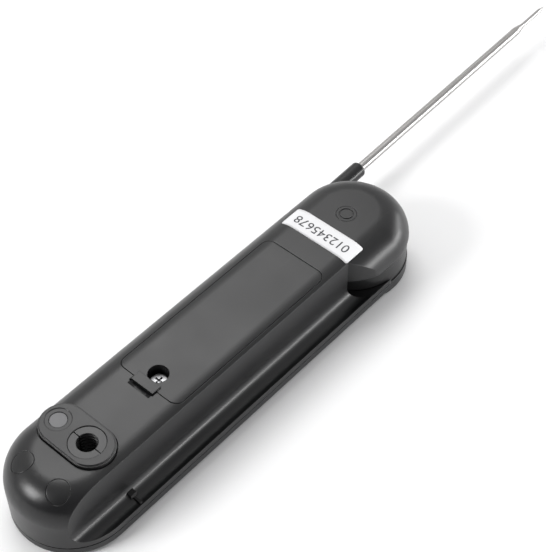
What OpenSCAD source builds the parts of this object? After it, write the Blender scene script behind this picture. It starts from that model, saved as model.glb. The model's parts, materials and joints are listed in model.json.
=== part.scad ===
// Folding-probe food thermometer, lying on its display side.
// Frame: +X towards the hinge end, +Y away from the probe channel, +Z out of the back.
// Origin: middle of the body's plan, on the flat display face.

/* [Case] */
// Width of the body
case_w = 37; // [36.6:0.2:46]
// Distance between the centres of the two round ends
span = 120.5; // [119:0.5:150]
// Height of the body above the display face
case_h = 23.4; // [23:0.2:30]
// Radius of the rounded back edge
back_edge_r = 10; // [8:0.2:11]
// Height of the joint between the front and back covers
seam_z = 4; // [3.9:0.1:4.6]
// Thickness of the seal in that joint
seal_t = 0.4; // [0.3:0.1:0.6]
// Wall of the covers
wall = 1.8; // [1.5:0.1:2.2]
// Radius round the edge of the display face
front_edge_r = 2; // [0.8:0.1:2.4]

/* [Hinge] */
// Thickness of the turning hub
hub_t = 8.6; // [8.4:0.1:10.4]
// Set-back of the hub's rim from the side of the case
hub_inset = 0.3; // [0.2:0.1:1]
// Radius of the fixed post that the hub turns on
post_r = 6.4; // [5.4:0.1:7.7]
// Running clearance between the post and the hub
post_fit = 0.05; // [0.02:0.01:0.1]
// Gap above and below the hub
hub_gap = 0.25; // [0.2:0.05:0.5]
// Angle past straight at which the probe stands when open
open_past = 1.46; // [0:0.02:4]
// Clear gap between the hub's rim and the wall at the end of the probe channel
pocket_gap = 3.2; // [2.2:0.1:5]

/* [Probe] */
// Distance from the side of the body in to the folded probe's centre line
probe_in = 1.4; // [1.3:0.1:2.7]
// Height of the probe's centre line above the underside of the hub
probe_up = 5.5; // [3.6:0.1:5.6]
// Distance from the hinge axis to the probe's point, along the probe
probe_reach = 139; // [100:1:170]
// Radius of the steel shaft
shaft_r = 1.55; // [1.2:0.05:1.9]
// Radius of the thin sensing end
tip_r = 0.78; // [0.65:0.01:0.95]
// Length of the thin sensing end
tip_len = 13.6; // [8:0.2:20]
// Length of the cone between shaft and sensing end
cone_len = 5.5; // [2:0.5:8]
// Radius of the plastic sleeve
sleeve_r = 2.7; // [2.2:0.05:2.9]
// Distance from the hinge axis to the end of the sleeve
sleeve_reach = 27; // [20:1:34]

/* [Probe channel] */
// Radius of the channel that the folded probe lies in
channel_r = 4.2; // [3.5:0.1:4.4]
// Wall between the channel and the inside of the case
channel_wall = 1.5; // [1.2:0.1:1.6]

/* [Battery door] */
// Length of the battery door
door_l = 64.4; // [63:0.2:78]
// Width of the battery door
door_w = 23.6; // [22.6:0.1:23.8]
// Thickness of the battery door
door_t = 1.7; // [1.4:0.1:2]
// Gap round the battery door
door_gap = 0.25; // [0.2:0.05:0.4]
// Distance from the middle of the body to the middle of the door
door_x = 1.9; // [0:0.1:3]

/* [Sensor] */
// Distance from the near end's centre to the sensor plate
plate_in = 5.1; // [4:0.1:8]
// Width of the raised sensor plate
plate_w = 13.8; // [12.6:0.2:16]
// Length of the raised sensor plate
plate_l = 25.1; // [24.5:0.1:26]
// Height of the sensor plate above the back
plate_up = 1.3; // [0.8:0.1:1.8]
// Radius of the baffled sight tunnel, at its grooves
tunnel_r = 3.35; // [2.9:0.05:4]
// Pitch of the baffles in the sight tunnel
baffle_pitch = 1.3; // [1:0.1:1.6]

/* [Display] */
// Length of the display window
window_l = 36; // [30:1:38]
// Width of the display window
window_w = 24; // [20:1:25]
// Thickness of the display window
window_t = 0.9; // [0.7:0.1:1]

/* [Buttons] */
// Radius of the round buttons
button_r = 4.2; // [3.5:0.1:4.6]
// Travel of a button
button_travel = 0.6; // [0.4:0.1:0.6]
// Distance between the buttons along the body
button_pitch = 13; // [11:0.5:14]

/* [Hidden] */
$fn = 96;
half_w = case_w / 2;
near_x = -span / 2;
hinge_x = span / 2;
front_top = seam_z - seal_t / 2;
back_low = seam_z + seal_t / 2;
far = 200;

// hinge heights
deck_z = seam_z + 0.55;
hub_r = half_w - hub_inset;
hub_low = deck_z + hub_gap;
hub_high = hub_low + hub_t;
slot_high = hub_high + hub_gap;
slot_r = half_w + 0.1;
pocket_r = hub_r + pocket_gap;
pocket_wall = 1.4;
pocket_y = -8;
housing_hole_r = post_r + 2.7;
probe_z = hub_low + probe_up;
hub_joint_z = probe_z + 0.9;
post_high = slot_high + 2.6;
lead_r = 0.6;
lead_knee = 2 * lead_r + 0.12;
sleeve_round = 0.9;
shaft_root = -1;
core_r = 0.38;

// channel
probe_off = half_w - probe_in;
channel_z = probe_z;
channel_y = -probe_off;
channel_wall_y = channel_y + channel_r;
channel_end_x = hinge_x - sqrt(pocket_r * pocket_r - channel_wall_y * channel_wall_y);

// screws
screw_r = 1.05;
screw_head_r = 2.1;
plug_r = 3.2;
plug_gap = 0.1;
plug_t = 3;
boss_r = 4.6;
screw_seat_z = post_high + 1.4;
screw_head_t = 1.6;
plug_low = max(case_h - plug_t, screw_seat_z + screw_head_t + 0.2);
near_screw_x = near_x - 9.9;
near_screw_y = 7;
hinge_screw_x = hinge_x - 2.5;
cap_r = norm([hinge_screw_x - channel_end_x, channel_wall_y]);
SCREWS = [[near_screw_x, near_screw_y], [near_screw_x, -near_screw_y], [hinge_screw_x, 0]];

// battery door and bay
door_lo = door_x - door_l / 2;
door_hi = door_x + door_l / 2;
door_corner = 3;
ledge = 0.6;
door_screw_x = door_lo + 5;
door_boss_r = 4.3;
door_swing = 0.9;
door_screw_r = 1.2;
door_screw_seat = case_h - 4.8;
door_boss_high = door_screw_seat - 2;
insert_r = 3;
insert_play = 0.75;
tray_wall = 0.6;
cell_r = 5.2;
cell_l = 44.5;
cell_y = cell_r + 0.08;
tray_in_w = 2 * (cell_y + cell_r + 0.2);
well_wall = 1;
tray_end = 1;
bay_lo = door_screw_x + door_boss_r + door_swing + well_wall + tray_end + 0.1;
bay_hi = bay_lo + cell_l + 4.6;
hook_y = 9.6;
hook_w = 3;
tab_reach = 1.3;
tab_w = 8.4;
tab_y = 0.2;
tab_up = 0.5;
cell_z = case_h - door_t - 0.8 - cell_r;
tray_floor_z = cell_z - cell_r - 0.3;
cell_x = bay_hi - 0.9 - cell_l / 2;

// sensor plate
plate_x = near_x + plate_in;
plate_r = plate_w / 2;
plate_mid_y = 1.45;
plate_z = case_h + plate_up;
plate_seat = case_h - 1.6;
tunnel_y = -2.6;
lamp_y = 8.8;
lamp_r = 2.55;
barrel_r = tunnel_r + 2;
barrel_low = 10.4;
barrel_lip = 0.25;
baffle_depth = 0.3;
sensor_r = 2.7;

// electronics
board_z = seam_z + 0.3;
board_t = 1.2;
board_y0 = -10.6;
board_y1 = 14;
board_x0 = near_x - 2;
board_x1 = hinge_x - pocket_r - pocket_wall;
display_gap = 2.25;
display_x = hinge_x - half_w - display_gap - window_l / 2;
button_mid_x = -23;
button_sink = 0.35;
button_floor = 1.4;
flange_z = button_floor + 0.1;
flange_t = 0.7;
plunger_low = flange_z + flange_t + button_travel + 0.4;

// ---------------------------------------------------------------- shapes

// Half section of the back cover's outside: flat top, round edge, straight side
module back_section(r, top, edge, low) {
  translate([0, low]) square([r - edge, top - low]);
  translate([0, low]) square([r, top - edge - low]);
  intersection() {
    translate([r - edge, top - edge]) circle(edge);
    translate([r - edge, low]) square([edge + 1, top]);
  }
}

// Solid with a pill-shaped plan and the section above
module back_solid(r, top, edge, low) {
  translate([hinge_x, 0, 0]) rotate(-90) rotate_extrude(angle = 180)
    back_section(r, top, edge, low);
  translate([near_x, 0, 0]) rotate(90) rotate_extrude(angle = 180)
    back_section(r, top, edge, low);
  translate([near_x, 0, 0]) rotate([90, 0, 90]) linear_extrude(span) {
    back_section(r, top, edge, low);
    mirror([1, 0]) back_section(r, top, edge, low);
  }
}

// Pill-shaped plan, as an area
module pill(r) {
  translate([near_x, 0]) circle(r);
  translate([hinge_x, 0]) circle(r);
  translate([near_x, -r]) square([span, 2 * r]);
}

module slab(z0, z1) {
  translate([0, 0, z0]) linear_extrude(z1 - z0) children();
}

// Rectangle with round corners
module round_rect(l, w, r) {
  square([l - 2 * r, w], center = true);
  square([l, w - 2 * r], center = true);
  for (sx = [-1, 1], sy = [-1, 1]) translate([sx * (l / 2 - r), sy * (w / 2 - r)]) circle(r);
}

// Area of a slot across the body, with round ends
module plate_area(r) {
  reach = plate_l / 2 - plate_r;
  translate([plate_x, plate_mid_y]) {
    for (s = [-1, 1]) translate([0, s * reach]) circle(r);
    square([2 * r, 2 * reach], center = true);
  }
}

// Space taken by the probe channel, or its outside when grown by its wall
module channel_section(grow) {
  translate([channel_y, channel_z]) circle(channel_r + grow);
  translate([-far, channel_z]) square([far + channel_wall_y + grow, far]);
  translate([-far, channel_z - channel_r * 0.6]) square([far + channel_y, far]);
}

module channel_space(grow) {
  // below the top of the hub the channel runs right up to the hub
  intersection() {
    translate([-far, 0, 0]) rotate([90, 0, 90]) linear_extrude(far + hinge_x)
      channel_section(grow);
    translate([-far, -far, 0]) cube([2 * far, 2 * far, slot_high]);
  }
  // above it the wall follows the round cap over the hub
  translate([0, 0, slot_high - 0.01]) linear_extrude(far) difference() {
    translate([-far, channel_wall_y + grow - far]) square([far + hinge_x, far]);
    translate([hinge_screw_x, 0]) circle(cap_r - grow);
  }
}

// Everything that belongs to the hub, turned to the open position
module on_hub() {
  translate([hinge_x, 0, 0]) rotate(open_past) children();
}

// Axis of the probe, lying along X in the hub's frame
module along_probe(from) {
  translate([from, probe_off, probe_z]) rotate([0, 90, 0]) children();
}

module screw_places() {
  for (p = SCREWS) translate(p) children();
}

// ---------------------------------------------------------------- case

module front_cover() color("#2c2d2f") {
  difference() {
    union() {
      difference() {
        front_shell_outside();
        slab(button_floor, far) pill(half_w - wall);
      }
      for (s = [-1, 1]) translate([near_screw_x, s * near_screw_y, 1])
        cylinder(r = 3, h = front_top - 1);
      intersection() {
        hinge_deck();
        slab(0.5, far) pill(half_w);
      }
      translate([hinge_x, 0, 1]) cylinder(r = post_r, h = post_high - 1);
      for (p = board_posts()) translate([p[0], p[1], 1]) cylinder(r = 2.2, h = board_z - 1);
    }
    // seat and opening of the display window
    translate([display_x, 0, 0]) {
      slab(-1, 0.1 + window_t) round_rect(window_l + 0.3, window_w + 0.3, 2);
      slab(-1, far) round_rect(window_l - 3, window_w - 3, 1.2);
    }
    for (i = [0:2]) translate([button_x(i), 0, -1]) cylinder(r = button_r + 0.3, h = 5);
    screw_places() translate([0, 0, 1.6]) cylinder(r = screw_r + 0.02, h = far);
    for (p = board_posts()) translate([p[0], p[1], 1.6]) cylinder(r = 0.82, h = far);
  }
}

module front_shell_outside() {
  slab(front_edge_r, front_top) pill(half_w);
  front_rim(1);
  front_rim(-1);
  translate([near_x, 0, 0]) rotate([90, 0, 90]) linear_extrude(span) {
    front_section();
    mirror([1, 0]) front_section();
  }
}

module front_rim(side) {
  translate([side * span / 2, 0, 0]) rotate(-90 * side) rotate_extrude(angle = 180)
    front_section();
}

module front_section() {
  square([half_w - front_edge_r, front_edge_r]);
  intersection() {
    translate([half_w - front_edge_r, front_edge_r]) circle(front_edge_r);
    translate([half_w - front_edge_r, 0]) square(front_edge_r);
  }
}

// Raised floor that carries the hub
module hinge_deck() {
  translate([hinge_x, 0, 0.5]) cylinder(r = half_w, h = deck_z - 0.5);
}

function button_x(i) = button_mid_x + (i - 1) * button_pitch;
function board_posts() = [
  for (x = [near_x + 2, display_x - window_l / 2 - 3], y = [-8.5, 9.5]) [x, y]
];

module back_cover() color("#303133") {
  difference() {
    union() {
      difference() {
        back_solid(half_w, case_h, back_edge_r, back_low);
        back_solid(half_w - wall, case_h - wall, back_edge_r - wall, back_low - 1);
      }
      intersection() {
        back_solid(half_w, case_h, back_edge_r, back_low);
        union() {
          channel_space(channel_wall);
          back_inside();
        }
      }
    }
    channel_space(0);
    hub_space(0);
    translate([hinge_x, 0, 0]) cylinder(r = housing_hole_r, h = post_high);
    // relief in the side wall beside the root of the sleeve
    translate([hinge_x - sleeve_r - 1, 0, probe_z - sleeve_r - 0.3])
      cube([sleeve_r + 1, far, slot_high - probe_z + sleeve_r + 0.3]);
    door_opening();
    plate_seat_cut();
    screw_places() {
      translate([0, 0, screw_seat_z]) cylinder(r = plug_r + plug_gap, h = far);
      cylinder(r = screw_r + 0.2, h = far);
    }
    // slot for the probe clip
    clip_body(0.05);
    finger_scoop();
  }
}

// Space that the hub turns in, or the housing round it when grown by its wall
module hub_space(grow) translate([hinge_x, 0, 0]) {
  cylinder(r = slot_r + grow, h = slot_high + grow);
  intersection() {
    translate([0, 0, channel_z - channel_r - grow])
      cylinder(r = pocket_r + grow, h = slot_high - channel_z + channel_r + 2 * grow);
    translate([-far, -far, 0]) cube([2 * far, far + pocket_y + grow, far]);
  }
}

// Bosses and frames inside the back cover
module back_inside() {
  hub_space(pocket_wall);
  for (s = [-1, 1]) translate([near_screw_x, s * near_screw_y, back_low])
    cylinder(r = boss_r, h = far);
  translate([hinge_screw_x, 0, post_high]) cylinder(r = boss_r, h = far);
  // frame that the door lies on
  translate([door_x, 0, 0]) slab(case_h - door_t - 1.6, far)
    round_rect(door_l + 3, door_w + 1.8, door_corner);
  // well of the door screw
  translate([door_screw_x, 0, tray_floor_z])
    cylinder(r = door_boss_r + door_swing + well_wall, h = far);
  // collar round the sensor barrel and the lamp
  slab(plate_seat - 3, far) plate_area(plate_r + 1.6);
}

module door_opening() {
  translate([door_x, 0, 0]) {
    slab(case_h - door_t - 0.05, far) round_rect(door_l, door_w, door_corner);
    slab(door_boss_high, far) round_rect(door_l - 4, door_w - 2 * ledge, door_corner - 1);
  }
  translate([door_screw_x, 0, 0]) {
    slab(door_boss_high - 4, far) circle(insert_r);
    slab(door_boss_high, far) circle(door_boss_r + door_swing);
  }
  // pockets for the two hooks
  for (s = [-1, 1]) translate([door_hi - 4.2, s * hook_y - hook_w / 2 - 0.3, case_h - door_t - 4])
    cube([6.6, hook_w + 0.6, 4]);
}

module finger_scoop() {
  translate([door_lo - tab_reach - 0.5, tab_y - tab_w / 2 - 0.35, case_h - 1])
    cube([tab_reach + 1, tab_w + 0.7, 2]);
  translate([door_lo - tab_reach - 1.6, tab_y, case_h + 6.8]) rotate([0, 90, 0])
    cylinder(r = 8, h = tab_reach + 1.8);
}

module plate_seat_cut() {
  slab(plate_seat, far) plate_area(plate_r + 0.25);
  translate([plate_x, tunnel_y, 0]) slab(plate_seat - 9, far) circle(barrel_r + 0.15);
  translate([plate_x, lamp_y, 0]) slab(plate_seat - 9, far) circle(lamp_r + 0.15);
}

module case_seal() color("#141414") difference() {
  slab(front_top, back_low) difference() {
    pill(half_w - 0.45);
    pill(half_w - wall + 0.1);
  }
  translate([hinge_x, 0, 0]) cylinder(r = half_w + 0.2, h = far);
}

// ---------------------------------------------------------------- display and buttons

module display_window() color("#1b1e21") translate([display_x, 0, 0])
  slab(0.1, 0.1 + window_t) round_rect(window_l, window_w, 1.85);

module display_panel() color("#8f9a8c") translate([display_x, 0, 0])
  slab(button_floor + 0.05, button_floor + 1.85)
    square([window_l - 1, window_w - 1], center = true);

module display_connector() color("#6d6d70") {
  y = window_w / 2 - 2.2;
  translate([display_x, y, 0]) slab(button_floor + 1.85, board_z) square([window_l - 6, 1.6], center = true);
}

module circuit_board() color("#1d5b33") difference() {
  translate([board_x0, board_y0, board_z])
    cube([board_x1 - board_x0, board_y1 - board_y0, board_t]);
  for (p = board_posts()) translate([p[0], p[1], 0]) cylinder(r = 0.95, h = far);
}

module board_screws() color("silver") for (p = board_posts()) translate([p[0], p[1], 0]) {
  translate([0, 0, 2]) cylinder(r = 0.8, h = board_z + board_t - 2);
  translate([0, 0, board_z + board_t]) cylinder(r = 1.6, h = 0.9);
}

module control_chip() color("#202020") translate([-12, -3, board_z + board_t]) cube([10, 10, 1.2]);

module buzzer() color("#161616") translate([near_x + 12, 6, board_z + board_t])
  difference() {
    cylinder(r = 4, h = 2.2);
    translate([0, 0, 1.4]) cylinder(r = 0.8, h = 2);
  }

module button_switches() color("#b9b9b9") for (i = [0:2]) translate([button_x(i), 0, 0]) {
  slab(board_z - 0.8, board_z) square([4.2, 4.2], center = true);
  translate([0, 0, plunger_low]) cylinder(r = 1.1, h = board_z - 0.8 - plunger_low);
}

module button(i) color("#4a4b4e") translate([button_x(i), 0, 0]) {
  translate([0, 0, button_sink]) cylinder(r = button_r, h = flange_z - button_sink);
  translate([0, 0, flange_z]) cylinder(r = button_r + 0.9, h = flange_t);
}

module mode_button() button(0);
module scan_button() button(1);
module hold_button() button(2);

// ---------------------------------------------------------------- batteries

module door_area(shrink) {
  translate([door_x, 0]) round_rect(door_l - 2 * shrink, door_w - 2 * shrink, door_corner - shrink);
}

module battery_door() color("#2f3032") {
  difference() {
    union() {
      intersection() {
        back_solid(half_w, case_h, back_edge_r, back_low);
        slab(case_h - door_t, far) door_area(door_gap);
      }
      translate([door_screw_x, 0, door_screw_seat - 1.4])
        cylinder(r = door_boss_r, h = case_h - door_screw_seat + 0.4);
      // tab for the finger nail, over its scoop in the cover
      translate([door_lo - tab_reach, tab_y - tab_w / 2, case_h - 0.5])
        cube([tab_reach + 2, tab_w, 0.5 + tab_up]);
      for (s = [-1, 1]) hook(s);
    }
    translate([door_screw_x, 0, door_screw_seat]) cylinder(r = 3.15, h = far);
    cylinder_hole(door_screw_x, door_screw_r + 0.1);
  }
}

module hook(s) {
  translate([door_hi - 3.4, s * hook_y - hook_w / 2, case_h - door_t - 1.5]) {
    cube([2, hook_w, 1.6]);
    cube([4.3, hook_w, 1]);
  }
}

module cylinder_hole(x, r) {
  translate([x, 0, 0]) cylinder(r = r, h = far);
}

module door_screw() color("#8a8c90") translate([door_screw_x, 0, 0]) difference() {
  union() {
    translate([0, 0, door_screw_seat + 0.05]) cylinder(r = 2.3, h = 1.7);
    translate([0, 0, door_boss_high - 2.5])
      cylinder(r = door_screw_r, h = door_screw_seat - door_boss_high + 2.6);
  }
  for (a = [0, 90]) rotate(a) translate([-1.4, -0.3, door_screw_seat + 0.95]) cube([2.8, 0.6, 2]);
}

module door_insert() color("#b08d3c") translate([door_screw_x, 0, 0]) difference() {
  translate([0, 0, door_boss_high - 4]) cylinder(r = insert_r, h = 3.9);
  cylinder(r = door_screw_r + insert_play, h = far);
}

module battery_tray() color("#26272a") {
  out_w = tray_in_w + 2 * tray_wall;
  difference() {
    translate([bay_lo - tray_end, -out_w / 2, tray_floor_z - 1])
      cube([bay_hi - bay_lo + 2 * tray_end, out_w, cell_z - tray_floor_z + 3]);
    translate([bay_lo, -tray_in_w / 2, tray_floor_z]) cube([bay_hi - bay_lo, tray_in_w, far]);
  }
}

module battery_cells() for (s = [-1, 1]) translate([cell_x, s * cell_y, cell_z])
  rotate([0, s * 90, 0]) {
    color("#c9a227") translate([0, 0, -cell_l / 2]) cylinder(r = cell_r, h = cell_l - 0.8);
    color("silver") translate([0, 0, cell_l / 2 - 0.8]) cylinder(r = 1.9, h = 0.8);
  }

module cell_springs() color("silver") {
  room = cell_x - cell_l / 2 - bay_lo;
  for (s = [-1, 1]) translate([bay_lo + 0.4, s * cell_y, cell_z]) rotate([0, 90, 0])
    for (k = [0:3]) translate([0, 0, 0.35 + k * (room - 1.1) / 3])
      rotate_extrude() translate([3.2 - k * 0.4, 0]) circle(0.3, $fn = 16);
}

module cell_contacts() color("silver") {
  for (s = [-1, 1]) translate([bay_lo + 0.02, s * cell_y - 4, cell_z - 4]) cube([0.35, 8, 8]);
  translate([bay_hi - 0.4, -cell_y - 4, cell_z - 4]) cube([0.35, 2 * cell_y + 8, 8]);
}

// ---------------------------------------------------------------- fasteners

module case_screws() color("silver") screw_places() difference() {
  union() {
    translate([0, 0, 2]) cylinder(r = screw_r, h = screw_seat_z - 2);
    translate([0, 0, screw_seat_z]) cylinder(r = screw_head_r, h = screw_head_t);
  }
  for (a = [0, 90]) rotate(a) translate([-1.2, -0.25, screw_seat_z + 0.8]) cube([2.4, 0.5, 2]);
}

module screw_plugs() color("#3a3b3d") difference() {
  intersection() {
    back_solid(half_w, case_h, back_edge_r, back_low);
    screw_places() slab(plug_low, far) circle(plug_r);
  }
  // ring in the face of the plug over the hinge
  translate([hinge_screw_x, 0, 0]) slab(case_h - 0.25, far) difference() {
    circle(plug_r - 0.9);
    circle(plug_r - 1.25);
  }
}

// ---------------------------------------------------------------- sensor

module sensor_plate() color("#3b3c3f") difference() {
  union() {
    slab(plate_seat + 0.4, plate_z - 0.45) plate_area(plate_r);
    slab(plate_z - 0.45, plate_z) plate_area(plate_r - 0.45);
  }
  translate([plate_x, tunnel_y, 0]) cylinder(r = barrel_r + 0.05, h = far);
  translate([plate_x, lamp_y, 0]) {
    cylinder(r = lamp_r + 0.05, h = far);
    slab(plate_z - 0.2, far) circle(3.85);
  }
}

module plate_seal() color("#101010") slab(plate_seat, plate_seat + 0.4) difference() {
  plate_area(plate_r - 0.2);
  plate_area(plate_r - 1.2);
}

// One half of the sight tunnel, with baffle rings in its bore
module barrel_half(side) color("#36373a") {
  high = plate_z - barrel_lip;
  rings = floor((high - barrel_low - 4) / baffle_pitch);
  difference() {
    translate([plate_x, tunnel_y, 0]) cylinder(r = barrel_r, h = high);
    cylinder_low(barrel_low);
    translate([plate_x, tunnel_y, 0]) {
      cylinder(r = tunnel_r - baffle_depth, h = far);
      for (k = [0:rings - 1]) translate([0, 0, high - 1 - k * baffle_pitch])
        cylinder(r = tunnel_r, h = baffle_pitch * 0.55);
      cylinder(r = sensor_r + 0.02, h = barrel_low + 4);
      // the two halves part along a plane across the body
      translate([side > 0 ? -far : -0.12, -far / 2, -1]) cube([far + 0.12, far, far]);
    }
  }
}

module cylinder_low(z) {
  translate([-far, -far, -1]) cube([2 * far, 2 * far, z + 1]);
}

module barrel_left() barrel_half(1);
module barrel_right() barrel_half(-1);

module sensor_can() color("silver") translate([plate_x, tunnel_y, 0]) difference() {
  union() {
    translate([0, 0, barrel_low + 0.4]) cylinder(r = sensor_r, h = 3.4);
    translate([0, 0, barrel_low - 0.6]) cylinder(r = sensor_r + 0.4, h = 0.55);
    translate([0, 0, barrel_low - 0.1]) cylinder(r = sensor_r - 0.4, h = 0.6);
  }
  translate([0, 0, barrel_low + 3.2]) cylinder(r = 1.6, h = 2);
}

module sensor_board() color("#1d5b33") {
  translate([plate_x - 6, tunnel_y - 6, barrel_low - 1.8]) cube([12, 18, 1.2]);
}

module lamp_window() color("#6f7072") translate([plate_x, lamp_y, 0])
  slab(plate_z - 1.7, plate_z - 0.35) circle(lamp_r);

module spot_lamp() color("#e8e6da") translate([plate_x, lamp_y, 0]) {
  translate([0, 0, barrel_low - 0.6]) cylinder(r = 2.4, h = 0.8);
  translate([0, 0, barrel_low + 0.2]) cylinder(r = 1.9, h = 4);
  translate([0, 0, barrel_low + 4.2]) sphere(1.9);
}

// ---------------------------------------------------------------- hinge and probe

// The hub is two mouldings that clamp the sleeve between them
module hub_half(low, high) color("#232426") on_hub() difference() {
  slab(low, high) circle(hub_r);
  cylinder(r = post_r + post_fit, h = far);
  // groove for the seal on the deck
  slab(0, hub_low + 1.2) circle(post_r + 2.2);
  // ring-shaped pocket that lightens the hub
  slab(hub_low + 1.8, hub_high - 1.2) difference() {
    circle(12.6);
    circle(post_r + 2);
  }
  // seat of the sleeve
  along_probe(-sleeve_r - 0.02) cylinder(r = sleeve_r + 0.02, h = sleeve_reach);
}

module hinge_hub() hub_half(hub_low, hub_joint_z);
module hub_cap() hub_half(hub_joint_z, hub_high);

module hub_seal() color("#101010") translate([hinge_x, 0, deck_z + 0.5])
  rotate_extrude() translate([post_r + 0.9, 0]) circle(0.5, $fn = 32);

module detent_washer() color("silver") translate([hinge_x, 0, 0])
  slab(hub_high + 0.05, hub_high + 0.2) difference() {
    circle(housing_hole_r + 5);
    circle(housing_hole_r + 2.4);
  }

module probe_sleeve() color("#1c1d1f") on_hub() difference() {
  along_probe(0) rotate_extrude() {
    sleeve_root(sleeve_r, sleeve_reach - sleeve_round);
    translate([0, sleeve_reach - sleeve_round]) sleeve_end();
  }
  along_probe(shaft_root) cylinder(r = shaft_r + 0.02, h = far);
}

// Half section of the sleeve from its ball-shaped root
module sleeve_root(r, reach) {
  square([r, reach]);
  intersection() {
    circle(r);
    translate([0, -r]) square([r, r]);
  }
}

// Half section of the sleeve's rounded end
module sleeve_end() {
  square([sleeve_r - sleeve_round, sleeve_round]);
  intersection() {
    translate([sleeve_r - sleeve_round, 0]) circle(sleeve_round);
    square(sleeve_r);
  }
}

// Section of the steel shaft, measured along the probe
module shaft_section() {
  shoulder = probe_reach - tip_len - cone_len;
  point = 3;
  polygon([
    [0, shaft_root],
    [shaft_r, shaft_root],
    [shaft_r, shoulder],
    [tip_r, shoulder + cone_len],
    [tip_r, probe_reach - point],
    [0.08, probe_reach],
    [0, probe_reach]
  ]);
}

module probe_shaft() color("#c9cacc") on_hub() difference() {
  along_probe(0) rotate_extrude() shaft_section();
  along_probe(shaft_root - 1) cylinder(r = core_r + 0.04, h = probe_reach - shaft_root - 2.4);
}

module thermocouple_core() color("#c87f3a") on_hub()
  along_probe(shaft_root) cylinder(r = core_r, h = probe_reach - shaft_root - 3.6);

// The lead goes round the post above the hub and then down to the board
module probe_lead() color("#1f4f9a") {
  r = housing_hole_r - lead_r - 0.1;
  z = post_high - 0.2;
  down_x = board_x1 - lead_r - 0.15;
  translate([hinge_x, 0, z]) {
    rotate(150) rotate_extrude(angle = 300) translate([r, 0]) circle(lead_r, $fn = 24);
    rotate(150) translate([r, 0, slot_high + 0.3 - z]) cylinder(r = lead_r, h = z - slot_high - 0.3);
    rotate(150) translate([r, 0, 0]) cube(lead_knee, center = true);
  }
  translate([down_x, r, z]) rotate([0, 90, 0]) cylinder(r = lead_r, h = hinge_x - down_x);
  for (x = [down_x, hinge_x]) translate([x, r, z]) cube(lead_knee, center = true);
  translate([down_x, r, board_z + board_t + 3.2]) cylinder(r = lead_r, h = z - board_z - board_t - 3.2);
}

module lead_plug() color("#e9e4d6") translate([board_x1 - 4, housing_hole_r - 3.2, board_z + board_t])
  cube([4, 5, 3.2]);

// ---------------------------------------------------------------- trim

// Rubber rest in the channel: a block against the wall and a thin rib out to the rim
module clip_body(grow) {
  x = near_x + 8.5;
  low = channel_z - channel_r;
  translate([x - 1.1 - grow, channel_wall_y - 2.3 - grow, low - 0.6 - grow])
    cube([2.2 + 2 * grow, 2.5 + 2 * grow, 2.5 + 2 * grow]);
  translate([x - 0.4 - grow, 0.5 - half_w - grow, low - 0.6 - grow])
    cube([0.8 + 2 * grow, half_w + channel_wall_y - 2 + 2 * grow, 1.3 + 2 * grow]);
}

module probe_clip() color("#0e0e0f") clip_body(0);

module serial_label() color("white") intersection() {
  difference() {
    back_solid(half_w + 0.14, case_h + 0.14, back_edge_r + 0.14, back_low);
    back_solid(half_w + 0.02, case_h + 0.02, back_edge_r + 0.02, back_low - 1);
  }
  translate([hinge_x - 18.1, channel_wall_y, 0]) cube([8.2, 26.2, far]);
}

front_cover();
back_cover();
case_seal();
display_window();
display_panel();
display_connector();
circuit_board();
board_screws();
control_chip();
buzzer();
button_switches();
mode_button();
scan_button();
hold_button();
battery_door();
door_screw();
door_insert();
battery_tray();
battery_cells();
cell_springs();
cell_contacts();
case_screws();
screw_plugs();
sensor_plate();
plate_seal();
barrel_left();
barrel_right();
sensor_can();
sensor_board();
lamp_window();
spot_lamp();
hinge_hub();
hub_cap();
hub_seal();
detent_washer();
probe_sleeve();
probe_shaft();
thermocouple_core();
probe_lead();
lead_plug();
probe_clip();
serial_label();
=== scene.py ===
import json
import math

import bmesh
import bpy
from mathutils import Euler, Matrix, Vector


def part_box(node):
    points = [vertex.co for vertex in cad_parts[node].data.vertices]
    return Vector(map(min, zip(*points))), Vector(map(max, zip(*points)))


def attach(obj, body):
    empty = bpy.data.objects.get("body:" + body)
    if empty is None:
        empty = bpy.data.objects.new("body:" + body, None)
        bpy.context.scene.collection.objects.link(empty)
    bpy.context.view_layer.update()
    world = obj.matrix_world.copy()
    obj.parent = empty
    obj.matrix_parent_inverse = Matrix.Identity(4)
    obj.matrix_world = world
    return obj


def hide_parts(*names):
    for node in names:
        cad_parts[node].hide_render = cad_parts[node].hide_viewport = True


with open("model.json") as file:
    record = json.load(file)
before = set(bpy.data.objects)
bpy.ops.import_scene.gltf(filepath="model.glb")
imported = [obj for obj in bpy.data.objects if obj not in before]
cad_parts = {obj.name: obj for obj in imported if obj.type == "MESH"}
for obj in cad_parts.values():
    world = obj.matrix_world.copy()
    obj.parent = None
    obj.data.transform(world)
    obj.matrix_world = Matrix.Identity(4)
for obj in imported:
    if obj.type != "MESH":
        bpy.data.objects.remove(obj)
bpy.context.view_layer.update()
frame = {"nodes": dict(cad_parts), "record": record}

MM = 0.001
scene = bpy.context.scene

# ---------------------------------------------------------------- studio
# The thermometer lies on a matt pale board under four soft boxes, with the camera above its channel
# side. The room is brighter beyond the thermometer than behind the camera, which gives the black
# plastic its contrast.


def node_of(tree, kind, **sockets):
    """A shader node of that kind, with plain values set on its inputs."""
    made = tree.nodes.new(kind)
    for key, value in sockets.items():
        made.inputs[key.replace("_", " ")].default_value = value
    return made


def bare_material(name):
    """A material with an empty tree, its Principled shader and its output."""
    made = bpy.data.materials.new(name)
    made.use_nodes = True
    tree = made.node_tree
    tree.nodes.clear()
    shader = tree.nodes.new("ShaderNodeBsdfPrincipled")
    shader.location = (500, 0)
    out = tree.nodes.new("ShaderNodeOutputMaterial")
    out.location = (800, 0)
    tree.links.new(shader.outputs["BSDF"], out.inputs["Surface"])
    return made, tree, shader


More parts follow.
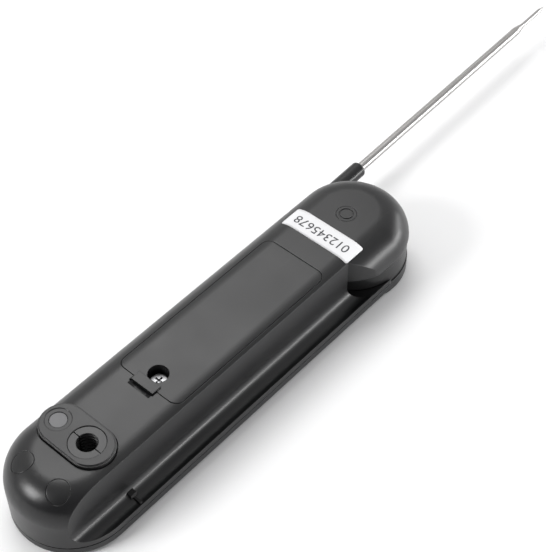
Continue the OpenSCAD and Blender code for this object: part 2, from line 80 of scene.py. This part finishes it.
def soft_box(name, place, aim, size, power):
    """A rectangular area light at place, turned to face aim."""
    light = bpy.data.lights.new(name, "AREA")
    light.shape = "RECTANGLE"
    light.size, light.size_y = size
    light.energy = power
    holder = bpy.data.objects.new(name, light)
    holder.location = place
    holder.rotation_euler = (Vector(aim) - Vector(place)).to_track_quat("-Z", "Y").to_euler()
    scene.collection.objects.link(holder)
    return holder


floor_material, floor_tree, floor_shader = bare_material("pale_board")
floor_shader.inputs["Base Color"].default_value = (0.93, 0.93, 0.93, 1)
floor_shader.inputs["Roughness"].default_value = 0.7
floor_mesh = bpy.data.meshes.new("floor")
FLOOR_REACH = 3.0
floor_mesh.from_pydata(
    [(x * FLOOR_REACH, y * FLOOR_REACH, 0) for x, y in ((-1, -1), (1, -1), (1, 1), (-1, 1))],
    [], [(0, 1, 2, 3)])
floor_mesh.materials.append(floor_material)
floor = bpy.data.objects.new("floor", floor_mesh)
scene.collection.objects.link(floor)

world = bpy.data.worlds.new("soft_room")
scene.world = world
world.use_nodes = True
room = world.node_tree
sky_place = room.nodes.new("ShaderNodeTexCoord")
sky_side = room.nodes.new("ShaderNodeVectorMath")
sky_side.operation = "DOT_PRODUCT"
sky_side.inputs[1].default_value = (0.42, 0.55, 0.5)
sky_ramp = room.nodes.new("ShaderNodeValToRGB")
room.links.new(sky_place.outputs["Generated"], sky_side.inputs[0])
room.links.new(sky_side.outputs["Value"], sky_ramp.inputs["Fac"])
room.links.new(sky_ramp.outputs["Color"], room.nodes["Background"].inputs["Color"])
sky_ramp.color_ramp.elements[0].color = (0.16, 0.16, 0.17, 1)
sky_ramp.color_ramp.elements[0].position = 0.0
sky_ramp.color_ramp.elements[1].color = (1.0, 1.0, 1.0, 1)
sky_ramp.color_ramp.elements[1].position = 0.7
room.nodes["Background"].inputs["Strength"].default_value = 0.85
scene.view_settings.view_transform = "Standard"

LIGHTS_AIM = Vector((0.0, 0.0, 0.01))
for name, direction, reach, size, power in (
        ("top_box", (0.3, 0.45, 0.87), 0.9, (0.5, 0.5), 3.0),
        ("side_strip", (0.42, -0.9, 0.1), 0.9, (1.3, 0.13), 9.0),
        ("near_box", (-0.76, 0.36, 0.52), 0.9, (0.3, 0.3), 5.0),
        ("far_box", (0.92, -0.34, 0.2), 0.8, (0.4, 0.2), 1.4)):
    soft_box(name, LIGHTS_AIM + Vector(direction) * reach, LIGHTS_AIM, size, power)

camera_data = bpy.data.cameras.new("camera")
camera_data.sensor_width = 36
camera_data.lens = 92.68
camera_data.shift_x = -0.0038
camera_data.shift_y = -0.001
camera_data.clip_start = 0.01
camera = bpy.data.objects.new("camera", camera_data)
VIEW_AZIMUTH = math.radians(-48.343)
VIEW_HEIGHT = math.radians(48.512)
VIEW_ROLL = math.radians(-0.297)
facing = Euler((math.pi / 2 - VIEW_HEIGHT, 0, VIEW_AZIMUTH)).to_matrix().to_4x4()
camera.matrix_world = (Matrix.Translation((-0.18578, -0.18692, 0.34091)) @ facing
                       @ Matrix.Rotation(VIEW_ROLL, 4, "Z"))
scene.collection.objects.link(camera)
scene.camera = camera

# ---------------------------------------------------------------- front cover
# The shallow tray that the thermometer lies on, moulded in black ABS with a fine spark texture.
# Its rim is rounded where it meets the table, and the hub turns on its raised deck.


def group_tree(name, inputs, outputs):
    """An empty shader group with those named float inputs and outputs, and its two end nodes."""
    tree = bpy.data.node_groups.new(name, "ShaderNodeTree")
    for label, value in inputs:
        socket = tree.interface.new_socket(label, in_out="INPUT", socket_type="NodeSocketFloat")
        socket.default_value = value
    for label in outputs:
        tree.interface.new_socket(label, in_out="OUTPUT", socket_type="NodeSocketFloat")
    start = tree.nodes.new("NodeGroupInput")
    end = tree.nodes.new("NodeGroupOutput")
    start.location, end.location = (-900, 0), (900, 0)
    return tree, start, end


def math_node(tree, operation, a, b=None, clamp=False):
    """A Math node fed by sockets or plain numbers."""
    made = tree.nodes.new("ShaderNodeMath")
    made.operation = operation
    made.use_clamp = clamp
    for i, value in enumerate(v for v in (a, b) if v is not None):
        if isinstance(value, (int, float)):
            made.inputs[i].default_value = value
        else:
            tree.links.new(value, made.inputs[i])
    return made.outputs[0]


def build_spark_grain():
    """Fine pits of a spark-eroded mould, with slow changes of gloss and faint rubbed streaks."""
    tree, start, end = group_tree(
        "spark_grain", [("Scale", 3500.0)], ["Height", "Cloud", "Streak"])
    place = tree.nodes.new("ShaderNodeTexCoord")
    fine = node_of(tree, "ShaderNodeTexNoise", Detail=3.0, Roughness=0.6)
    tree.links.new(place.outputs["Object"], fine.inputs["Vector"])
    tree.links.new(start.outputs["Scale"], fine.inputs["Scale"])
    pits = node_of(tree, "ShaderNodeTexVoronoi")
    tree.links.new(place.outputs["Object"], pits.inputs["Vector"])
    tree.links.new(start.outputs["Scale"], pits.inputs["Scale"])
    height = math_node(tree, "ADD", fine.outputs["Fac"],
                       math_node(tree, "MULTIPLY", pits.outputs["Distance"], 0.6))
    cloud = node_of(tree, "ShaderNodeTexNoise", Scale=45.0, Detail=4.0, Roughness=0.55)
    tree.links.new(place.outputs["Object"], cloud.inputs["Vector"])
    stretch = node_of(tree, "ShaderNodeMapping", Scale=(60.0, 900.0, 300.0))
    stretch.inputs["Rotation"].default_value = (0.0, 0.0, 0.35)
    tree.links.new(place.outputs["Object"], stretch.inputs["Vector"])
    rubs = node_of(tree, "ShaderNodeTexNoise", Scale=1.0, Detail=2.0)
    tree.links.new(stretch.outputs["Vector"], rubs.inputs["Vector"])
    rub_peaks = math_node(tree, "SUBTRACT", rubs.outputs["Fac"], 0.62)
    streak = math_node(tree, "MULTIPLY", rub_peaks, 6.0, True)
    tree.links.new(height, end.inputs["Height"])
    tree.links.new(cloud.outputs["Fac"], end.inputs["Cloud"])
    tree.links.new(streak, end.inputs["Streak"])
    return tree


def build_edge_wear():
    """A mask that is white along convex edges, broken up by noise."""
    tree, start, end = group_tree("edge_wear", [("Radius", 0.0003), ("Amount", 1.0)], ["Mask"])
    rounded = node_of(tree, "ShaderNodeBevel")
    rounded.samples = 4
    tree.links.new(start.outputs["Radius"], rounded.inputs["Radius"])
    surface = tree.nodes.new("ShaderNodeNewGeometry")
    compare = tree.nodes.new("ShaderNodeVectorMath")
    compare.operation = "DOT_PRODUCT"
    tree.links.new(rounded.outputs["Normal"], compare.inputs[0])
    tree.links.new(surface.outputs["Normal"], compare.inputs[1])
    turned_away = math_node(tree, "SUBTRACT", 1.0, compare.outputs["Value"])
    edge = math_node(tree, "MULTIPLY", turned_away, 6.0, True)
    place = tree.nodes.new("ShaderNodeTexCoord")
    broken = node_of(tree, "ShaderNodeTexNoise", Scale=260.0, Detail=5.0, Roughness=0.7)
    tree.links.new(place.outputs["Object"], broken.inputs["Vector"])
    rubbed_off = math_node(tree, "SUBTRACT", broken.outputs["Fac"], 0.42)
    patch = math_node(tree, "MULTIPLY", rubbed_off, 4.0, True)
    worn = math_node(tree, "MULTIPLY", edge, patch)
    mask = math_node(tree, "MULTIPLY", worn, start.outputs["Amount"], True)
    tree.links.new(mask, end.inputs["Mask"])
    return tree


spark_grain = build_spark_grain()
edge_wear = build_edge_wear()


def placed_group(tree, group, **values):
    """That node group in a material's tree, with its values."""
    made = tree.nodes.new("ShaderNodeGroup")
    made.node_tree = group
    for key, value in values.items():
        made.inputs[key].default_value = value
    return made


def mixed(tree, factor, low, high):
    """A colour between two, by a mask socket."""
    made = tree.nodes.new("ShaderNodeMix")
    made.data_type = "RGBA"
    for slot, value in ((made.inputs[6], low), (made.inputs[7], high)):
        if isinstance(value, bpy.types.NodeSocket):
            tree.links.new(value, slot)
        else:
            slot.default_value = (*value, 1)
    tree.links.new(factor, made.inputs[0])
    return made.outputs[2]


def ranged(tree, value, low, high):
    """A value from 0 to 1 spread between low and high."""
    made = tree.nodes.new("ShaderNodeMapRange")
    made.inputs["To Min"].default_value = low
    made.inputs["To Max"].default_value = high
    tree.links.new(value, made.inputs["Value"])
    return made.outputs["Result"]


def moulded(name, colour, gloss, grain=3500.0, depth=0.00002, wear=0.5, spread=0.1, lit=None):
    """Injection-moulded plastic: spark texture, cloudy gloss, rubbed streaks and polished edges."""
    made, tree, shader = bare_material(name)
    grain_node = placed_group(tree, spark_grain, Scale=grain)
    worn = placed_group(tree, edge_wear, Radius=0.00035, Amount=wear)
    paler = lit or tuple(min(1.0, c * 1.9 + 0.006) for c in colour)
    bare_edge = tuple(min(1.0, c * 2.2 + 0.02) for c in colour)
    cloudy = mixed(tree, ranged(tree, grain_node.outputs["Cloud"], 0.0, 0.45), colour, paler)
    rubbed = mixed(tree, ranged(tree, grain_node.outputs["Streak"], 0.0, 0.35), cloudy, paler)
    final = mixed(tree, worn.outputs["Mask"], rubbed, bare_edge)
    tree.links.new(final, shader.inputs["Base Color"])
    rough = ranged(tree, grain_node.outputs["Cloud"], gloss - spread, gloss + spread)
    polish = math_node(tree, "MULTIPLY", worn.outputs["Mask"], 0.12)
    polished = math_node(tree, "SUBTRACT", rough, polish)
    tree.links.new(polished, shader.inputs["Roughness"])
    rounded = node_of(tree, "ShaderNodeBevel", Radius=0.00025)
    rounded.samples = 6
    bump = node_of(tree, "ShaderNodeBump", Strength=0.35, Distance=depth)
    tree.links.new(rounded.outputs["Normal"], bump.inputs["Normal"])
    tree.links.new(grain_node.outputs["Height"], bump.inputs["Height"])
    tree.links.new(bump.outputs["Normal"], shader.inputs["Normal"])
    shader.inputs["IOR"].default_value = 1.49
    shader.inputs["Specular IOR Level"].default_value = 0.45
    return made


def linked(name, mesh):
    """A new object of that mesh, in the scene."""
    made = bpy.data.objects.new(name, mesh)
    scene.collection.objects.link(made)
    return made


def settled(piece):
    """The piece with its modifiers made part of its mesh."""
    bpy.context.view_layer.update()
    graph = bpy.context.evaluated_depsgraph_get()
    mesh = bpy.data.meshes.new_from_object(piece.evaluated_get(graph), depsgraph=graph)
    mesh.name = piece.name
    piece.modifiers.clear()
    piece.data = mesh
    return piece


def body_of_node(node):
    """The name of the body that a CAD node belongs to."""
    groups = frame["record"]["behaviour"]["bodies"]
    return next(body for body, members in groups.items() if node in members)


SAME_POINT = 2e-6
FLAT_ANGLE = math.radians(0.4)


def finished(node, name, material, edge=0.2, segments=3, corner=28.0):
    """A copy of a CAD node with its triangles joined and its corners rounded by edge millimetres."""
    mesh = frame["nodes"][node].data.copy()
    mesh.name = name
    work = bmesh.new()
    work.from_mesh(mesh)
    bmesh.ops.remove_doubles(work, verts=work.verts, dist=SAME_POINT)
    bmesh.ops.dissolve_degenerate(work, dist=SAME_POINT, edges=work.edges)
    bmesh.ops.dissolve_limit(work, angle_limit=FLAT_ANGLE, verts=work.verts, edges=work.edges)
    for face in work.faces:
        face.smooth = True
    work.to_mesh(mesh)
    work.free()
    mesh.materials.clear()
    mesh.materials.append(material)
    for polygon in mesh.polygons:
        polygon.material_index = 0
    piece = linked(name, mesh)
    if edge:
        rounding = piece.modifiers.new("rounding", "BEVEL")
        rounding.width = edge * MM
        rounding.segments = segments
        rounding.limit_method = "ANGLE"
        rounding.angle_limit = math.radians(corner)
        rounding.miter_outer = "MITER_ARC"
        shading = piece.modifiers.new("shading", "WEIGHTED_NORMAL")
        shading.mode = "FACE_AREA"
        shading.weight = 50
    else:
        mesh.set_sharp_from_angle(angle=math.radians(corner))
        shading = piece.modifiers.new("shading", "WEIGHTED_NORMAL")
        shading.keep_sharp = True
    settled(piece)
    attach(piece, body_of_node(node))
    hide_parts(node)
    return piece


FRONT_BLACK = (0.0055, 0.0055, 0.006)
front_plastic = moulded("front_plastic", FRONT_BLACK, 0.36)
front_tray = finished("front_cover", "front_tray", front_plastic, edge=0.2)

# ---------------------------------------------------------------- back cover
# The domed back, moulded in the same black ABS, with the probe channel down one side.
# The ridge over the channel and the rims of its openings carry a small radius.

BACK_BLACK = (0.006, 0.006, 0.0064)
back_plastic = moulded("back_plastic", BACK_BLACK, 0.33)
domed_back = finished("back_cover", "domed_back", back_plastic, edge=0.3)

# ---------------------------------------------------------------- battery door
# A close-fitting lid of the same plastic with two hooks, a nail tab and a well for its captive screw.

door_plastic = moulded("door_plastic", (0.0055, 0.0055, 0.0059), 0.34)
door_lid = finished("battery_door", "door_lid", door_plastic, edge=0.16)

# ---------------------------------------------------------------- screw plugs
# Three flush plugs snapped into the screw wells after assembly, a shade glossier than the back.

plug_plastic = moulded("plug_plastic", (0.006, 0.006, 0.0063), 0.36)
plugs = finished("screw_plugs", "well_plugs", plug_plastic, edge=0.14)

# ---------------------------------------------------------------- sensor plate
# The raised bezel that ties the sight tunnel and the spot lamp together, pressed into the back.

plate_plastic = moulded("plate_plastic", (0.0055, 0.0055, 0.0058), 0.34)
bezel = finished("sensor_plate", "sensor_bezel", plate_plastic, edge=0.22)

# The tunnel's black is paler than the body's: painted light against the shade inside the tunnel. Its
# heavy edge wear along the thread ridges is partly wear and partly painted highlight.
tunnel_plastic = moulded("tunnel_plastic", (0.012, 0.012, 0.0125), 0.3, wear=0.9)
for side in ("left", "right"):
    half = finished("barrel_" + side, "tunnel_half_" + side, tunnel_plastic, edge=0.07, segments=2)

# The small grey window beside the tunnel, a diffuser pressed into the plate.
LAMP_GREY = (0.12, 0.12, 0.123)
lamp_plastic = moulded("lamp_plastic", LAMP_GREY, 0.5, wear=0.0, spread=0.04)
lamp_disc = finished("lamp_window", "lamp_disc", lamp_plastic, edge=0.1)

# ---------------------------------------------------------------- hub, sleeve and probe
# The glossy hub turns between the covers and carries the probe in a plastic sleeve.
# The probe is drawn stainless tube, swaged to a thin sensing end and ground to a point.

hub_plastic = moulded("hub_plastic", (0.0055, 0.0055, 0.0057), 0.34)
for half, side in (("hinge_hub", "lower"), ("hub_cap", "upper")):
    hub = finished(half, "turning_hub_" + side, hub_plastic, edge=0.2)

sleeve_plastic = moulded("sleeve_plastic", (0.005, 0.005, 0.0055), 0.27, depth=0.000008)
sleeve = finished("probe_sleeve", "sleeve", sleeve_plastic, edge=0.0, corner=50.0)


def ground_steel(name, colour, gloss, along=(8.0, 2600.0, 2600.0)):
    """Bright metal with fine lines from grinding along the piece, cloudy gloss and light marks."""
    made, tree, shader = bare_material(name)
    place = tree.nodes.new("ShaderNodeTexCoord")
    stretch = node_of(tree, "ShaderNodeMapping", Scale=along)
    tree.links.new(place.outputs["Object"], stretch.inputs["Vector"])
    lines = node_of(tree, "ShaderNodeTexNoise", Scale=1.0, Detail=4.0, Roughness=0.6)
    tree.links.new(stretch.outputs["Vector"], lines.inputs["Vector"])
    cloud = node_of(tree, "ShaderNodeTexNoise", Scale=160.0, Detail=3.0)
    tree.links.new(place.outputs["Object"], cloud.inputs["Vector"])
    darker = tuple(c * 0.78 for c in colour)
    tint = mixed(tree, cloud.outputs["Fac"], darker, colour)
    tree.links.new(tint, shader.inputs["Base Color"])
    rough = ranged(tree, lines.outputs["Fac"], gloss - 0.08, gloss + 0.1)
    tree.links.new(rough, shader.inputs["Roughness"])
    bump = node_of(tree, "ShaderNodeBump", Strength=0.15, Distance=0.00001)
    tree.links.new(lines.outputs["Fac"], bump.inputs["Height"])
    tree.links.new(bump.outputs["Normal"], shader.inputs["Normal"])
    shader.inputs["Metallic"].default_value = 1.0
    return made


probe_steel = ground_steel("probe_steel", (0.47, 0.46, 0.45), 0.26)
HUB_CENTRE = (60.25, 0.0, 0.0)
LINE_ASIDE = 17.1
LINE_HEIGHT = 10.3
OPEN_PAST = math.radians(1.46)
SHAFT_R = 1.55
TIP_R = 0.78
POINT_R = 0.08
TIP_LENGTH = 13.6
CONE_LENGTH = 5.5
POINT_LENGTH = 3.0
REACH = 139.0
ROOT = -1.0
SLEEVED = 20.0


def turned(name, profile, steps=48):
    """A turned mesh on the open probe's centre line, from distances and radii in millimetres."""
    line = (Matrix.Translation(Vector(HUB_CENTRE) * MM) @ Matrix.Rotation(OPEN_PAST, 4, "Z")
            @ Matrix.Translation((0.0, LINE_ASIDE * MM, LINE_HEIGHT * MM)))
    work = bmesh.new()
    rings = []
    turns = [2 * math.pi * i / steps for i in range(steps)]
    for along, radius in profile:
        ring = [Vector((along, radius * math.cos(turn), radius * math.sin(turn))) for turn in turns]
        rings.append([work.verts.new(line @ (point * MM)) for point in ring])
    for low, high in zip(rings, rings[1:]):
        for i in range(steps):
            face = work.faces.new((low[i], low[(i + 1) % steps], high[(i + 1) % steps], high[i]))
            face.smooth = True
    work.faces.new(rings[0])
    work.faces.new(rings[-1])
    bmesh.ops.recalc_face_normals(work, faces=work.faces)
    mesh = bpy.data.meshes.new(name)
    work.to_mesh(mesh)
    work.free()
    return mesh


cone_end = REACH - TIP_LENGTH
cone_start = cone_end - CONE_LENGTH
shaft_profile = [(ROOT, SHAFT_R)]
shaft_profile += [(SLEEVED + (cone_start - SLEEVED) * i / 12, SHAFT_R) for i in range(13)]
for i in range(1, 9):
    share = i / 8
    ease = share * share * (3 - 2 * share)
    shaft_profile.append((cone_start + CONE_LENGTH * share, SHAFT_R + (TIP_R - SHAFT_R) * ease))
shaft_profile += [(cone_end + (TIP_LENGTH - POINT_LENGTH) * i / 6, TIP_R) for i in range(1, 7)]
shaft_profile += [(REACH - POINT_LENGTH * (1 - i / 6), TIP_R + (POINT_R - TIP_R) * i / 6)
                  for i in range(1, 7)]
shaft_mesh = turned("steel_probe", shaft_profile)
shaft_mesh.materials.append(probe_steel)
shaft = linked("steel_probe", shaft_mesh)
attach(shaft, "probe")
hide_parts("probe_shaft")

# ---------------------------------------------------------------- serial label
# A strip of coated paper stuck over the crown beside the hinge, with printed digits in a plain sequence.
# Both follow the dome: flat across the crown, then round the edge radius.

DOME_RADIUS = 10.0
PAPER_TOP = 0.1
PAPER_THICKNESS = 0.08
INK_LIFT = 0.03
case_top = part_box("back_cover")[1][2] / MM
case_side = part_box("back_cover")[1][1] / MM


def crown(y):
    """Height of the back above the table at a distance y from its middle line, in millimetres."""
    past = abs(y) - (case_side - DOME_RADIUS)
    if past <= 0:
        return case_top
    return case_top - DOME_RADIUS + math.sqrt(max(0.0, DOME_RADIUS ** 2 - past ** 2))


def crown_slope(y):
    """Unit normal of the back at a distance y from its middle line."""
    past = min(DOME_RADIUS, max(0.0, abs(y) - (case_side - DOME_RADIUS)))
    lean = math.asin(past / DOME_RADIUS)
    return Vector((0.0, math.copysign(math.sin(lean), y), math.cos(lean)))


def on_crown(x, y, lift):
    """A point lifted off the back, in metres."""
    return (Vector((x, y, crown(y))) + crown_slope(y) * lift) * MM


label_low, label_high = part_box("serial_label")
END_MARGIN = 0.1
near_edge, far_edge = label_low[0] / MM, label_high[0] / MM
first_end, last_end = label_low[1] / MM + END_MARGIN, label_high[1] / MM - END_MARGIN
ACROSS, ALONG = 10, 90
CORNER = 0.5
label_work = bmesh.new()
rows = []
for j in range(ALONG + 1):
    y = first_end + (last_end - first_end) * j / ALONG
    into_corner = max(0.0, CORNER - min(y - first_end, last_end - y))
    inset = CORNER - math.sqrt(max(0.0, CORNER ** 2 - into_corner ** 2))
    width = far_edge - near_edge - 2 * inset
    places = [near_edge + inset + width * i / ACROSS for i in range(ACROSS + 1)]
    rows.append([label_work.verts.new(on_crown(x, y, PAPER_TOP)) for x in places])
for j in range(ALONG):
    for i in range(ACROSS):
        corners = (rows[j][i], rows[j][i + 1], rows[j + 1][i + 1], rows[j + 1][i])
        label_work.faces.new(corners).smooth = True
label_mesh = bpy.data.meshes.new("paper_label")
label_work.to_mesh(label_mesh)
label_work.free()

paper = moulded("paper", (0.74, 0.74, 0.75), 0.5, grain=5200.0, wear=0.0, spread=0.05,
                lit=(0.8, 0.8, 0.81))
label_mesh.materials.append(paper)
label = linked("paper_label", label_mesh)
thickness = label.modifiers.new("thickness", "SOLIDIFY")
thickness.thickness = PAPER_THICKNESS * MM
thickness.offset = -1
settled(label)
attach(label, "case")
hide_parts("serial_label")

ink_material, ink_tree, ink_shader = bare_material("printed_ink")
ink_place = ink_tree.nodes.new("ShaderNodeTexCoord")
ink_cloud = node_of(ink_tree, "ShaderNodeTexNoise", Scale=1400.0, Detail=3.0)
ink_tree.links.new(ink_place.outputs["Object"], ink_cloud.inputs["Vector"])
DENSE_INK, THIN_INK = (0.012, 0.012, 0.016), (0.05, 0.05, 0.06)
ink_colour = mixed(ink_tree, ink_cloud.outputs["Fac"], DENSE_INK, THIN_INK)
ink_rough = ranged(ink_tree, ink_cloud.outputs["Fac"], 0.45, 0.7)
ink_tree.links.new(ink_colour, ink_shader.inputs["Base Color"])
ink_tree.links.new(ink_rough, ink_shader.inputs["Roughness"])

digit_font = bpy.data.curves.new("digits", "FONT")
digit_font.body = "012345678"
digit_font.size = 4.6
digit_font.space_character = 1.02
digit_font.align_x = "CENTER"
digit_font.align_y = "CENTER"
digit_font.resolution_u = 3
digit_holder = linked("digit_holder", digit_font)
bpy.context.view_layer.update()
digit_mesh = bpy.data.meshes.new_from_object(
    digit_holder.evaluated_get(bpy.context.evaluated_depsgraph_get()))
bpy.data.objects.remove(digit_holder)
digit_work = bmesh.new()
digit_work.from_mesh(digit_mesh)
bmesh.ops.remove_doubles(digit_work, verts=digit_work.verts, dist=1e-4)
bmesh.ops.triangulate(digit_work, faces=digit_work.faces)
LONG_STROKE = 0.8
long_edges = [e for e in digit_work.edges if e.calc_length() > LONG_STROKE]
bmesh.ops.subdivide_edges(digit_work, edges=long_edges, cuts=2)
middle_x, middle_y = (near_edge + far_edge) / 2, (first_end + last_end) / 2
for vert in digit_work.verts:
    along, up = vert.co.x, vert.co.y
    vert.co = on_crown(middle_x - up, middle_y + along, PAPER_TOP + INK_LIFT)
bmesh.ops.recalc_face_normals(digit_work, faces=digit_work.faces)
for face in digit_work.faces:
    face.normal_update()
    if face.normal.z < 0:
        face.normal_flip()
digit_work.to_mesh(digit_mesh)
digit_work.free()
digit_mesh.name = "label_digits"
digit_mesh.materials.clear()
digit_mesh.materials.append(ink_material)
digits = linked("label_digits", digit_mesh)
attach(digits, "case")

# ---------------------------------------------------------------- seals and rubber rest
# Black rubber: the gasket between the covers, the rings under the sensor plate and round the post,
# and the small rest that the folded probe clips into.


def dress(material, *nodes):
    """Gives those CAD nodes the material."""
    for name in nodes:
        for holder in frame["nodes"][name].material_slots:
            holder.material = material


black_rubber = moulded("black_rubber", (0.01, 0.01, 0.01), 0.72, grain=2200.0, wear=0.2)
dress(black_rubber, "case_seal", "plate_seal", "hub_seal", "probe_clip")

# ---------------------------------------------------------------- display
# A smoked acrylic window on the face that the thermometer lies on, with the glass panel behind it
# and the striped rubber connector that carries its signals to the board.

window_acrylic = moulded("window_acrylic", (0.01, 0.0105, 0.012), 0.08,
                         grain=500.0, depth=0.000002, wear=0.2, spread=0.03)
crystal_glass = moulded("crystal_glass", (0.24, 0.28, 0.22), 0.15, grain=600.0, wear=0.0, spread=0.05)
zebra_rubber = moulded("zebra_rubber", (0.16, 0.16, 0.17), 0.6, wear=0.0)
dress(window_acrylic, "display_window")
dress(crystal_glass, "display_panel")
dress(zebra_rubber, "display_connector")

# ---------------------------------------------------------------- buttons
# Three dark rubber keys on the same face, each over a small sprung switch with a metal cover.

key_rubber = moulded("key_rubber", (0.06, 0.06, 0.065), 0.62, grain=2600.0, wear=0.3)
spring_wire = ground_steel("spring_wire", (0.6, 0.6, 0.6), 0.28, along=(900.0, 900.0, 900.0))
dress(key_rubber, "mode_button", "scan_button", "hold_button")
dress(spring_wire, "button_switches")

# ---------------------------------------------------------------- circuit boards
# Glass-fibre laminate under green solder mask, with the epoxy blob over the chip and the buzzer.

solder_mask = moulded("solder_mask", (0.008, 0.09, 0.03), 0.35, grain=1200.0, wear=0.2)
chip_epoxy = moulded("chip_epoxy", (0.012, 0.012, 0.012), 0.55, grain=2600.0, wear=0.2)
dress(solder_mask, "circuit_board", "sensor_board")
dress(chip_epoxy, "control_chip", "buzzer")

# ---------------------------------------------------------------- battery bay
# A tray of the door's plastic holds two cells in printed film, with coil springs at one end
# and plated contacts at both. The door's screw goes into a brass insert.

cell_film = moulded("cell_film", (0.45, 0.3, 0.04), 0.25, grain=900.0, wear=0.2)
turned_brass = ground_steel("turned_brass", (0.62, 0.42, 0.14), 0.3, along=(600.0, 600.0, 3000.0))
dress(door_plastic, "battery_tray")
dress(cell_film, "battery_cells")
dress(spring_wire, "cell_springs", "cell_contacts")
dress(turned_brass, "door_insert")

# ---------------------------------------------------------------- screws
# Zinc-plated steel screws: three hold the covers, four the board, and one the battery door.

steel_screw = ground_steel("steel_screw", (0.42, 0.42, 0.43), 0.35, along=(900.0, 900.0, 900.0))
dress(steel_screw, "case_screws", "board_screws", "door_screw")

# ---------------------------------------------------------------- sensor and spot lamp
# The metal can of the sensor at the bottom of the tunnel, and the clear resin lamp under the window.

clear_resin = moulded("clear_resin", (0.75, 0.73, 0.65), 0.18, grain=900.0, wear=0.0)
dress(spring_wire, "sensor_can")
dress(clear_resin, "spot_lamp")

# ---------------------------------------------------------------- hub spring and probe wiring
# The sprung washer that holds the hub at its stops, the thermocouple inside the probe,
# and the blue lead round the post with its nylon plug on the board.

copper_wire = ground_steel("copper_wire", (0.62, 0.33, 0.18), 0.35, along=(20.0, 2600.0, 2600.0))
lead_jacket = moulded("lead_jacket", (0.02, 0.07, 0.3), 0.4, wear=0.1)
nylon = moulded("nylon", (0.7, 0.66, 0.57), 0.45, wear=0.1)
dress(spring_wire, "detent_washer")
dress(copper_wire, "thermocouple_core")
dress(lead_jacket, "probe_lead")
dress(nylon, "lead_plug")
